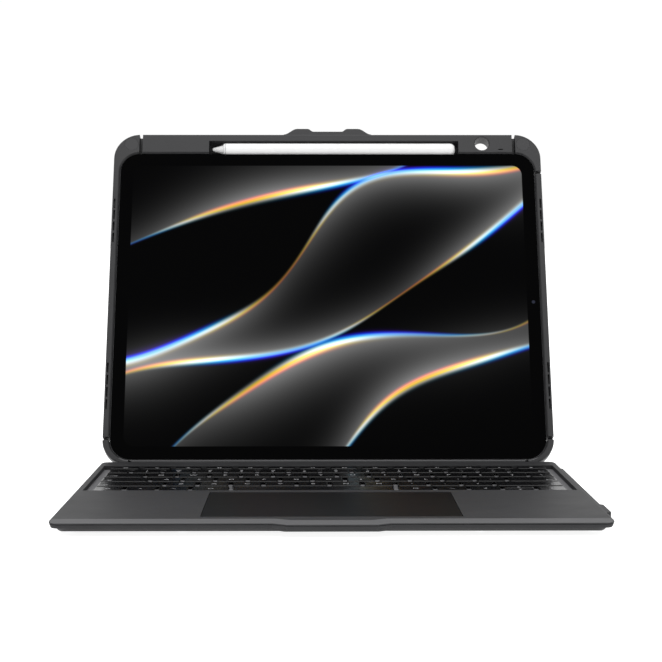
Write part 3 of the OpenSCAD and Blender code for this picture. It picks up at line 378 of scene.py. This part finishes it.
def shell_material(name, rough, specular, edge, edge_radius):
    """Moulded charcoal plastic, with a highlight painted where faces slope a little forward, as
    on the deck's front edge.
    """
    material = surface(name, SHELL, rough, 0.10, 0.03, edge=edge, edge_radius=edge_radius,
                       Specular_IOR_Level=specular)
    tree = material.node_tree
    _, forward, upward = split_xyz(tree, coords_of(tree, "Normal"))
    faces_front = Term(tree, remap(tree, forward.socket, 1, 0, -0.11, -0.08))
    faces_up = Term(tree, remap(tree, upward.socket, 0, 1, 0.86, 0.9))
    # paint the highlight on faces that tilt a little forward but still face mostly up
    paint_over(material, (faces_front * faces_up).socket, FRONT_EDGE_HIGHLIGHT)
    return material


# edge sets how much lighter each surface's edges are: partly wear, partly a painted highlight
MATERIALS = {
    "shell": shell_material("shell", 0.48, 0.3, 0.9, 0.25),
    "soft_shell": surface("soft_shell", (0.026, 0.026, 0.027), 0.58, 0.12, edge=0.6,
                          Specular_IOR_Level=0.35),
    "keycaps": surface("keycaps", (0.0035, 0.0035, 0.004), 0.22, 0.10, 0.03, grain=2400,
                       depth=0.004, edge=1.2, edge_radius=0.18, Specular_IOR_Level=0.2),
    "trackpad": surface("trackpad", (0.0045, 0.0045, 0.0048), 0.34, 0.06, 0.008, grain=2600,
                        depth=0.002, edge=0.8, Specular_IOR_Level=0.06),
    "steel_plate": surface("steel_plate", (0.105, 0.105, 0.11), 0.62, 0.10, edge=0.3,
                           Specular_IOR_Level=0.2),
    "film": surface("film", (0.35, 0.37, 0.36), 0.25, 0.05),
    "guide": surface("guide", (0.75, 0.78, 0.78), 0.3, 0.05),
    "silicone": surface("silicone", (0.7, 0.7, 0.68), 0.5, 0.06),
    "rubber": surface("rubber", (0.016, 0.016, 0.016), 0.8, 0.15, grain=900, edge=0.5),
    "magnet": surface("magnet", (0.6, 0.61, 0.62), 0.25, 0.05, metallic=1.0, edge=0.2),
    "screw": surface("screw", (0.42, 0.43, 0.44), 0.35, 0.08, metallic=1.0, patch=400,
                     edge=0.3, edge_radius=0.1),
    "pin": surface("pin", (0.55, 0.56, 0.57), 0.2, 0.04, metallic=1.0, stretch=(0.05, 1, 1)),
    "cell": surface("cell", (0.45, 0.46, 0.48), 0.35, 0.06, metallic=0.7, grain=300, edge=0.2),
    "board": surface("board", (0.02, 0.09, 0.05), 0.4, 0.12, grain=500, edge=0.3),
    "port": surface("port", (0.5, 0.51, 0.52), 0.3, 0.06, metallic=1.0, stretch=(0.1, 1, 1),
                    edge=0.2, edge_radius=0.1),
    "hinge_leaf": surface("hinge_leaf", (0.06, 0.06, 0.065), 0.4, 0.10, metallic=0.5,
                          edge=0.6),
    "liner": surface("liner", (0.03, 0.03, 0.033), 0.92, 0.2, grain=1200, depth=0.06,
                     Sheen_Weight=0.4, Sheen_Roughness=0.5),
    "tablet_metal": surface("tablet_metal", (0.12, 0.12, 0.125), 0.38, 0.05, metallic=0.9,
                            grain=3000, depth=0.006, edge=0.5),
    "tablet_glass": screen_material(),
    "lens": surface("lens", (0.004, 0.004, 0.007), 0.06, 0.1, depth=0.0, edge=0.4),
    "stylus": stylus_material(),
    "nib": surface("nib", (0.60, 0.60, 0.60), 0.4, 0.02, depth=0.003),
}
# Nodes that differ a little from the rest of their slot
OWN_FINISH = {
    "top_deck": shell_material("deck_shell", 0.54, 0.2, 2.4, 0.35),
    "closure_caps": surface("closure_caps", (0.027, 0.027, 0.0285), 0.5, 0.08, edge=0.9,
                            edge_radius=0.15, Specular_IOR_Level=0.3),
}
LEGEND = surface("legend_print", (0.32, 0.32, 0.33), 0.6, 0.06, grain=2500, depth=0.004)
RING = surface("lens_ring", (0.20, 0.20, 0.21), 0.28, 0.06, metallic=1.0, grain=2500,
               depth=0.003, edge=0.4)

# ================= The CAD nodes' own finish =================

slot_of = {s["node"]: s["material_slot"] for s in frame["record"]["subparts"]}
for name, node in frame["nodes"].items():
    node.data.materials.clear()
    node.data.materials.append(OWN_FINISH.get(name, MATERIALS[slot_of[name]]))

# ================= Mesh helpers =================


def piece(name, bm, matrix, material, body, stands_for=()):
    """Makes a mesh into a piece that rides a body; its mesh is given in millimetres."""
    mesh = bpy.data.meshes.new(name)
    bm.to_mesh(mesh)
    bm.free()
    mesh.transform(matrix)
    mesh.materials.append(material)
    mesh.shade_smooth()
    obj = bpy.data.objects.new(name, mesh)
    scene.collection.objects.link(obj)
    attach(obj, body)
    if stands_for:
        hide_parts(*stands_for)
    return obj


def round_loop(x0, x1, y0, y1, r, steps=5):
    """Points of a rectangle with round corners, counter-clockwise."""
    points = []
    for cx, cy, start in ((x1 - r, y1 - r, 0), (x0 + r, y1 - r, 90), (x0 + r, y0 + r, 180),
                          (x1 - r, y0 + r, 270)):
        for i in range(steps + 1):
            a = math.radians(start + 90 * i / steps)
            points.append((cx + r * math.cos(a), cy + r * math.sin(a)))
    return points


def join_rings(bm, low, high):
    """A closed strip of faces from one ring of corners to the next."""
    for i in range(len(low)):
        j = (i + 1) % len(low)
        bm.faces.new((low[i], low[j], high[j], high[i]))


def skin(bm, loops):
    """Joins rings of points into a closed skin."""
    rings = [[bm.verts.new(p) for p in loop] for loop in loops]
    for low, high in zip(rings, rings[1:]):
        join_rings(bm, low, high)
    bm.faces.new(list(reversed(rings[0])))
    bm.faces.new(rings[-1])


# ================= Keycaps =================

# Inset from the cap's outline and drop under its top as a share of its height, from the roof of
# the hollow underside down to the skirt and up to the dished middle
CAP_STEPS = ((1.0, 0.6), (1.0, 1.0), (0.0, 1.0), (0.12, 0.55), (0.2, 0.34), (0.3, 0.2),
             (0.44, 0.09), (0.62, 0.025), (0.85, 0.0), (1.3, 0.03), (2.1, 0.09), (3.3, 0.13))
CAP_R = 1.4
CAP_R_LEAST = 0.35
# Radius and height over the key plate of a rubber dome, from its foot to its dished top
DOME_STEPS = ((2.5, 0.0), (2.5, 0.14), (2.3, 0.28), (2.12, 0.5), (1.9, 0.85), (1.6, 1.2),
              (1.38, 1.42), (1.2, 1.55), (0.95, 1.59), (0.5, 1.55))


def add_cap(bm, x0, x1, rear, depth):
    """A keycap on its share of the key field; gives its middle and its width."""
    g = KEY_GAP / 2
    x0, x1, y0, y1 = x0 + g, x1 - g, rear - depth + g, rear - g
    loops = []
    for inset, drop in CAP_STEPS:
        inset = min(inset, 0.4 * min(x1 - x0, y1 - y0))
        r = max(CAP_R - inset, CAP_R_LEAST)
        loops.append([(x, y, KEY_TOP - drop * KEY_H)
                      for x, y in round_loop(x0 + inset, x1 - inset, y0 + inset, y1 - inset, r)])
    skin(bm, loops)
    return (x0 + x1) / 2, (y0 + y1) / 2, x1 - x0


def add_dome(bm, cx, cy, sides=20):
    turns = [2 * math.pi * i / sides for i in range(sides)]
    skin(bm, [[(cx + r * math.cos(a), cy + r * math.sin(a), PLATE_Z + h) for a in turns]
              for r, h in DOME_STEPS])


def key_run(first, pitch, count):
    """Widths of a row: a first key, equal ones, and a last that fills the key field."""
    return ([first * KEY_U] + [pitch * KEY_U] * count
            + [KEY_FIELD_W - (first + pitch * count) * KEY_U])


def row_rear(i):
    """Rear edge of a full-height row, counted from the number row."""
    return KEY_REAR - FUNCTION_ROW_D - i * ROW_D


def spread_row(widths, left, rear, depth):
    """Places of the keys of a row from left to right, each with its two sides, rear and depth."""
    places = []
    for w in widths:
        places.append((left, left + w, rear, depth))
        left += w
    return places


LEFT = -KEY_FIELD_W / 2
ARROW_W = 1.003 * KEY_U
ARROW_LEFT = KEY_FIELD_W / 2 - 2.946 * KEY_U
LEFT_MODIFIERS = [w * KEY_U for w in (0.951, 0.982, 0.993, 1.21)]
RIGHT_MODIFIERS = [w * KEY_U for w in (1.158, 1.003)]
SPACE_LEFT = LEFT + sum(LEFT_MODIFIERS)
SPACE_RIGHT = ARROW_LEFT - sum(RIGHT_MODIFIERS)
# The upper and lower arrow keys share one place, with half the usual gap between them
HALF_KEY_D = ROW_D / 2 + KEY_GAP / 4
HALF_KEY_STEP = ROW_D / 2 - KEY_GAP / 4
KEY_PLACES = {
    "function_keys": spread_row(key_run(1.029, 1.005, 12), LEFT, KEY_REAR, FUNCTION_ROW_D),
    "number_keys": spread_row(key_run(0.775, 1.003, 12), LEFT, row_rear(0), ROW_D),
    "upper_letter_keys": spread_row(key_run(1.313, 1, 12), LEFT, row_rear(1), ROW_D),
    "home_keys": spread_row(key_run(1.561, 0.998, 11), LEFT, row_rear(2), ROW_D),
    "lower_letter_keys": spread_row(key_run(2.078, 0.998, 10), LEFT, row_rear(3), ROW_D),
    "modifier_keys": (spread_row(LEFT_MODIFIERS, LEFT, row_rear(4), ROW_D)
                      + spread_row(RIGHT_MODIFIERS, SPACE_RIGHT, row_rear(4), ROW_D)),
    "space_bar": [(SPACE_LEFT, SPACE_RIGHT, row_rear(4), ROW_D)],
    "arrow_keys": ([(ARROW_LEFT + i * ARROW_W, min(ARROW_LEFT + (i + 1) * ARROW_W,
                                                   KEY_FIELD_W / 2), row_rear(4), ROW_D)
                    for i in (0, 2)]
                   + [(ARROW_LEFT + ARROW_W, ARROW_LEFT + 2 * ARROW_W,
                       row_rear(4) - i * HALF_KEY_STEP, HALF_KEY_D) for i in (0, 1)]),
}

# ---- Legends: one character, one small drawn sign or nothing on each key ----
PAIRED = dict(zip("1234567890-=", "!@#$%^&*()_+"))
LEGENDS = {
    "function_keys": "ring dim sun grid find moon back play next mute low high dot lock".split(),
    "number_keys": list("`1234567890-=") + ["left"],
    "upper_letter_keys": ["tab"] + list("QWERTYUIOP[]\\"),
    "home_keys": ["caps"] + list("ASDFGHJKL;'") + ["return"],
    "lower_letter_keys": ["shift"] + list("ZXCVBNM,./") + ["shift"],
    "modifier_keys": ["ring", "^", "step", "square", "square", "step"],
    "space_bar": [None],
    "arrow_keys": ["left_tri", "right_tri", "up_tri", "down_tri"],
}
# Characters centred on their own outline; the others are centred on a capital's height
SELF_CENTRED = "^`'-=_+*.,;"
# Half the thickness of a print, and the sizes of characters alone and in pairs
PRINT_HALF = 0.01
GLYPH_SIZE = 4.6
PAIRED_SIZES = (4.0, 3.6)
PAIRED_UP = 2.8
# Signs on keys wider than this stand near the key's outer end
LONG_KEY_W = 18
SIGN_EDGE = 5
SIGN_DOWN = 2.5


def glyph(bm, character, size, cx, cy, z):
    """A character as a thin raised print, centred on a place."""
    data = bpy.data.curves.new("glyph", "FONT")
    data.body = character
    data.size = size
    data.align_x = "CENTER"
    data.extrude = PRINT_HALF
    data.resolution_u = 3
    obj = bpy.data.objects.new("glyph", data)
    scene.collection.objects.link(obj)
    bpy.context.view_layer.update()
    mesh = bpy.data.meshes.new_from_object(
        obj.evaluated_get(bpy.context.evaluated_depsgraph_get()))
    low = min(v.co.y for v in mesh.vertices)
    high = max(v.co.y for v in mesh.vertices)
    middle = (low + high) / 2 if character in SELF_CENTRED else size * 0.35
    mesh.transform(Matrix.Translation((cx, cy - middle, z)))
    bm.from_mesh(mesh)
    bpy.data.objects.remove(obj)
    bpy.data.curves.remove(data)
    bpy.data.meshes.remove(mesh)


def flat(bm, points, z):
    """A thin raised print with the outline given."""
    low = [bm.verts.new((x, y, z - PRINT_HALF)) for x, y in points]
    high = [bm.verts.new((x, y, z + PRINT_HALF)) for x, y in points]
    bm.faces.new(list(reversed(low)))
    bm.faces.new(high)
    join_rings(bm, low, high)


def bar(bm, x0, y0, x1, y1, w, z):
    """A straight stroke between two places."""
    dx, dy = x1 - x0, y1 - y0
    k = w / 2 / math.hypot(dx, dy)
    flat(bm, [(x0 + dy * k, y0 - dx * k), (x1 + dy * k, y1 - dx * k),
              (x1 - dy * k, y1 + dx * k), (x0 - dy * k, y0 + dx * k)], z)


def ring(bm, cx, cy, r, w, z, start=0, end=360):
    """A round stroke, or a stretch of one between two angles."""
    steps = max(6, int((end - start) / 20))
    for i in range(steps):
        a, b = (math.radians(start + (end - start) * k / steps) for k in (i, i + 1))
        flat(bm, [(cx + (r - w / 2) * math.cos(a), cy + (r - w / 2) * math.sin(a)),
                  (cx + (r + w / 2) * math.cos(a), cy + (r + w / 2) * math.sin(a)),
                  (cx + (r + w / 2) * math.cos(b), cy + (r + w / 2) * math.sin(b)),
                  (cx + (r - w / 2) * math.cos(b), cy + (r - w / 2) * math.sin(b))], z)


def triangle(bm, cx, cy, r, angle, z):
    """An even triangle that points along an angle."""
    flat(bm, [(cx + r * math.cos(math.radians(angle + a)),
               cy + r * math.sin(math.radians(angle + a))) for a in (0, 120, 240)], z)


def sign(bm, kind, cx, cy, z):
    """A small drawn sign, one to four millimetres wide."""
    w = 0.34
    if kind == "ring":
        ring(bm, cx, cy, 1.3, w, z)
        bar(bm, cx - 1.2, cy, cx + 1.2, cy, w * 0.8, z)
    elif kind in ("dim", "sun"):
        r = 0.6 if kind == "dim" else 0.9
        ring(bm, cx, cy, r * 0.5, r, z)
        for i in range(8):
            a = math.radians(45 * i)
            bar(bm, cx + (r + 0.3) * math.cos(a), cy + (r + 0.3) * math.sin(a),
                cx + (r + 0.7) * math.cos(a), cy + (r + 0.7) * math.sin(a), w * 0.8, z)
    elif kind == "grid":
        for dx in (-1.3, 0.2):
            flat(bm, [(cx + dx, cy - 1.1), (cx + dx + 1.1, cy - 1.1),
                      (cx + dx + 1.1, cy + 1.1), (cx + dx, cy + 1.1)], z)
    elif kind == "find":
        ring(bm, cx - 0.3, cy + 0.3, 0.9, w, z)
        bar(bm, cx + 0.4, cy - 0.4, cx + 1.3, cy - 1.2, w, z)
    elif kind == "moon":
        ring(bm, cx, cy, 0.9, 0.55, z, 60, 300)
    elif kind in ("back", "next"):
        turn = 180 if kind == "back" else 0
        for dx in (-0.75, 0.75):
            triangle(bm, cx + dx, cy, 0.95, turn, z)
    elif kind == "play":
        triangle(bm, cx - 0.5, cy, 1.2, 0, z)
        for dx in (0.9, 1.6):
            bar(bm, cx + dx, cy - 1, cx + dx, cy + 1, w, z)
    elif kind in ("mute", "low", "high"):
        triangle(bm, cx - 0.5, cy, 1.2, 180, z)
        for i in range({"mute": 0, "low": 1, "high": 2}[kind]):
            ring(bm, cx, cy, 1.2 + 0.6 * i, w, z, -45, 45)
    elif kind == "dot":
        ring(bm, cx, cy, 0.35, 0.7, z)
    elif kind == "lock":
        flat(bm, [(cx - 0.9, cy - 1.1), (cx + 0.9, cy - 1.1), (cx + 0.9, cy + 0.2),
                  (cx - 0.9, cy + 0.2)], z)
        ring(bm, cx, cy + 0.2, 0.6, w, z, 0, 180)
    elif kind == "square":
        for a, b in (((-1, -1), (1, -1)), ((1, -1), (1, 1)), ((1, 1), (-1, 1)),
                     ((-1, 1), (-1, -1))):
            bar(bm, cx + a[0] * 1.2, cy + a[1] * 1.2, cx + b[0] * 1.2, cy + b[1] * 1.2, w, z)
    elif kind == "step":
        bar(bm, cx - 1.5, cy + 0.9, cx - 0.5, cy + 0.9, w, z)
        bar(bm, cx - 0.5, cy + 0.9, cx + 0.6, cy - 0.9, w, z)
        bar(bm, cx + 0.6, cy - 0.9, cx + 1.5, cy - 0.9, w, z)
    elif kind in ("left", "tab", "return"):
        way = 1 if kind == "tab" else -1
        bar(bm, cx - 1.8, cy, cx + 1.8, cy, w, z)
        for dy in (-1, 1):
            bar(bm, cx + way * 1.8, cy, cx + way * 0.8, cy + dy, w, z)
        if kind == "tab":
            bar(bm, cx + 2.2, cy - 1.2, cx + 2.2, cy + 1.2, w, z)
        if kind == "return":
            bar(bm, cx + 1.8, cy, cx + 1.8, cy + 1.5, w, z)
    elif kind in ("shift", "caps"):
        for dx in (-1, 1):
            bar(bm, cx, cy + 1.5, cx + dx * 1.4, cy + 0.1, w, z)
            bar(bm, cx + dx * 0.6, cy + 0.1, cx + dx * 0.6, cy - 1.1, w, z)
        bar(bm, cx - 0.6, cy - 1.1, cx + 0.6, cy - 1.1, w, z)
        if kind == "caps":
            bar(bm, cx - 0.8, cy - 1.8, cx + 0.8, cy - 1.8, w, z)
    elif kind.endswith("_tri"):
        turn = {"left_tri": 180, "right_tri": 0, "up_tri": 90, "down_tri": 270}[kind]
        triangle(bm, cx, cy, 1.3, turn, z)


# Prints lie on the caps' dished middle
LEGEND_Z = KEY_TOP - 0.115
for row, places in KEY_PLACES.items():
    caps, prints, domes = bmesh.new(), bmesh.new(), bmesh.new()
    for place, legend in zip(places, LEGENDS[row]):
        cx, cy, w = add_cap(caps, *place)
        add_dome(domes, cx, cy)
        if legend in ("tab", "caps", "shift", "left", "return") and w > LONG_KEY_W:
            cx += (w / 2 - SIGN_EDGE) * (-1 if cx < 0 else 1)
            cy -= SIGN_DOWN
        if legend is None:
            continue
        if len(legend) > 1:
            sign(prints, legend, cx, cy, LEGEND_Z)
        elif legend in PAIRED:
            glyph(prints, legend, PAIRED_SIZES[0], cx, cy - PAIRED_UP, LEGEND_Z)
            glyph(prints, PAIRED[legend], PAIRED_SIZES[1], cx, cy + PAIRED_UP, LEGEND_Z)
        else:
            raised = 0.4 if legend.isalpha() else 0
            glyph(prints, legend, GLYPH_SIZE, cx, cy + raised, LEGEND_Z)
    piece(row + "_caps", caps, ON_KEYBOARD, MATERIALS["keycaps"], BODY_OF[row],
          [row])
    # each row's domes are a piece of their own on the domes' body, with a mesh of its own
    dome_piece = piece(row + "_domes", domes, ON_KEYBOARD, MATERIALS["silicone"],
                       BODY_OF["rubber_domes"], ["rubber_domes"])
    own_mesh(dome_piece)
    if len(prints.verts):
        piece(row + "_legends", prints, ON_KEYBOARD, LEGEND, BODY_OF[row])
    else:
        prints.free()

# ================= Rings round the tablet's lenses =================


def turned(bm, cx, cy, profile, steps=48):
    """A ring turned round an axis along z; the profile is a closed list of (radius, z)."""
    rings = []
    for i in range(steps):
        a = 2 * math.pi * i / steps
        rings.append([bm.verts.new((cx + r * math.cos(a), cy + r * math.sin(a), z))
                      for r, z in profile])
    for i in range(steps):
        join_rings(bm, rings[i], rings[(i + 1) % steps])


# Radius past the lens's own and height over its face, round the ring's section
RING_STEPS = ((-0.75, 0.02), (-0.6, -0.14), (-0.2, -0.16), (0.04, -0.04), (0.1, 0.3),
              (-0.7, 0.3))
lens_rings = bmesh.new()
for x, y, r in LENSES:
    turned(lens_rings, CAMERA_X + x, CAMERA_Y + y,
           [(r + out, LENS_FACE + up) for out, up in RING_STEPS])
piece("lens_rings", lens_rings, ON_CASE, RING, "tablet")

# ================= The felt pad behind the tablet =================

# Inset and height over the pad's underside: a pressed border round a raised, softer middle
PAD_BORDER = ((0.0, 0.03), (0.0, 0.13), (0.06, 0.19), (0.2, 0.22), (0.85, 0.22), (1.05, 0.26),
              (1.25, 0.34), (1.5, 0.385), (1.75, 0.395))
# Its underside, how far it stays inside the tablet's edges, and the hole round the camera block
PAD_FLOOR = TABLET_BACK - 0.5
PAD_EDGE = 1
PAD_R = 12.5
PAD_HOLE_HALF = CAMERA_HALF + 3
PAD_HOLE_R = 10


def pad_rings(bm, x0, x1, y0, y1, r, grow):
    """The pad's border along one outline; gives its lowest and its highest ring."""
    rings = []
    for inset, height in PAD_BORDER:
        d = inset * grow
        rings.append([bm.verts.new((x, y, PAD_FLOOR + height)) for x, y in
                      round_loop(x0 - d, x1 + d, y0 - d, y1 + d, r + d, 10)])
    for low, high in zip(rings, rings[1:]):
        join_rings(bm, low, high)
    return rings[0], rings[-1]


def add_pad(bm):
    """The whole pad: its border, the border of the camera's hole, and the faces between."""
    half = TABLET_W / 2 - PAD_EDGE
    outer = pad_rings(bm, -half, half, TABLET_LO + PAD_EDGE, TABLET_HI - PAD_EDGE, PAD_R, -1)
    hole = pad_rings(bm, CAMERA_X - PAD_HOLE_HALF, CAMERA_X + PAD_HOLE_HALF,
                     CAMERA_Y - PAD_HOLE_HALF, CAMERA_Y + PAD_HOLE_HALF, PAD_HOLE_R, 1)
    for level in (0, 1):
        edges = []
        for loop in (outer[level], hole[level]):
            for i, vert in enumerate(loop):
                pair = (vert, loop[(i + 1) % len(loop)])
                edges.append(bm.edges.get(pair) or bm.edges.new(pair))
        bmesh.ops.triangle_fill(bm, use_beauty=True, edges=edges)
    bmesh.ops.recalc_face_normals(bm, faces=bm.faces)


felt = bmesh.new()
add_pad(felt)
piece("felt_pad", felt, ON_CASE, MATERIALS["liner"], "case",
                ("liner_pad",))

# ================= Stage =================

# Lengths in metres; the floor lies a little under the feet and glows as a lit backdrop does
FLOOR_SIZE = 30
FLOOR_Z = -0.0002
FLOOR_GREY = 0.6
FLOOR_GLOW = 0.87
WORLD_LIGHT = 1.02
SOFTBOX_PLACE = (0, -0.2, 1.5)
SOFTBOX_AIM = (0, 0, 0.05)
SOFTBOX_SIZE = 1.0
SOFTBOX_POWER = 12


def make_stage():
    bpy.ops.mesh.primitive_plane_add(size=FLOOR_SIZE, location=(0, 0, FLOOR_Z))
    floor = bpy.context.object
    floor.name = "floor"
    material, _, shader = new_material("floor")
    shader.inputs["Base Color"].default_value = (FLOOR_GREY, FLOOR_GREY, FLOOR_GREY, 1)
    shader.inputs["Roughness"].default_value = 0.95
    shader.inputs["Specular IOR Level"].default_value = 0.0
    shader.inputs["Emission Color"].default_value = (1, 1, 1, 1)
    shader.inputs["Emission Strength"].default_value = FLOOR_GLOW
    floor.data.materials.append(material)
    world = bpy.data.worlds.new("world")
    scene.world = world
    world.use_nodes = True
    background = world.node_tree.nodes["Background"]
    background.inputs["Color"].default_value = (1, 1, 1, 1)
    background.inputs["Strength"].default_value = WORLD_LIGHT
    data = bpy.data.lights.new("softbox", "AREA")
    data.energy = SOFTBOX_POWER
    data.size = SOFTBOX_SIZE
    light = bpy.data.objects.new("softbox", data)
    light.location = SOFTBOX_PLACE
    towards = Vector(SOFTBOX_AIM) - Vector(SOFTBOX_PLACE)
    light.rotation_euler = towards.to_track_quat("-Z", "Y").to_euler()
    scene.collection.objects.link(light)
    scene.view_settings.view_transform = "Standard"


make_camera()
make_stage()
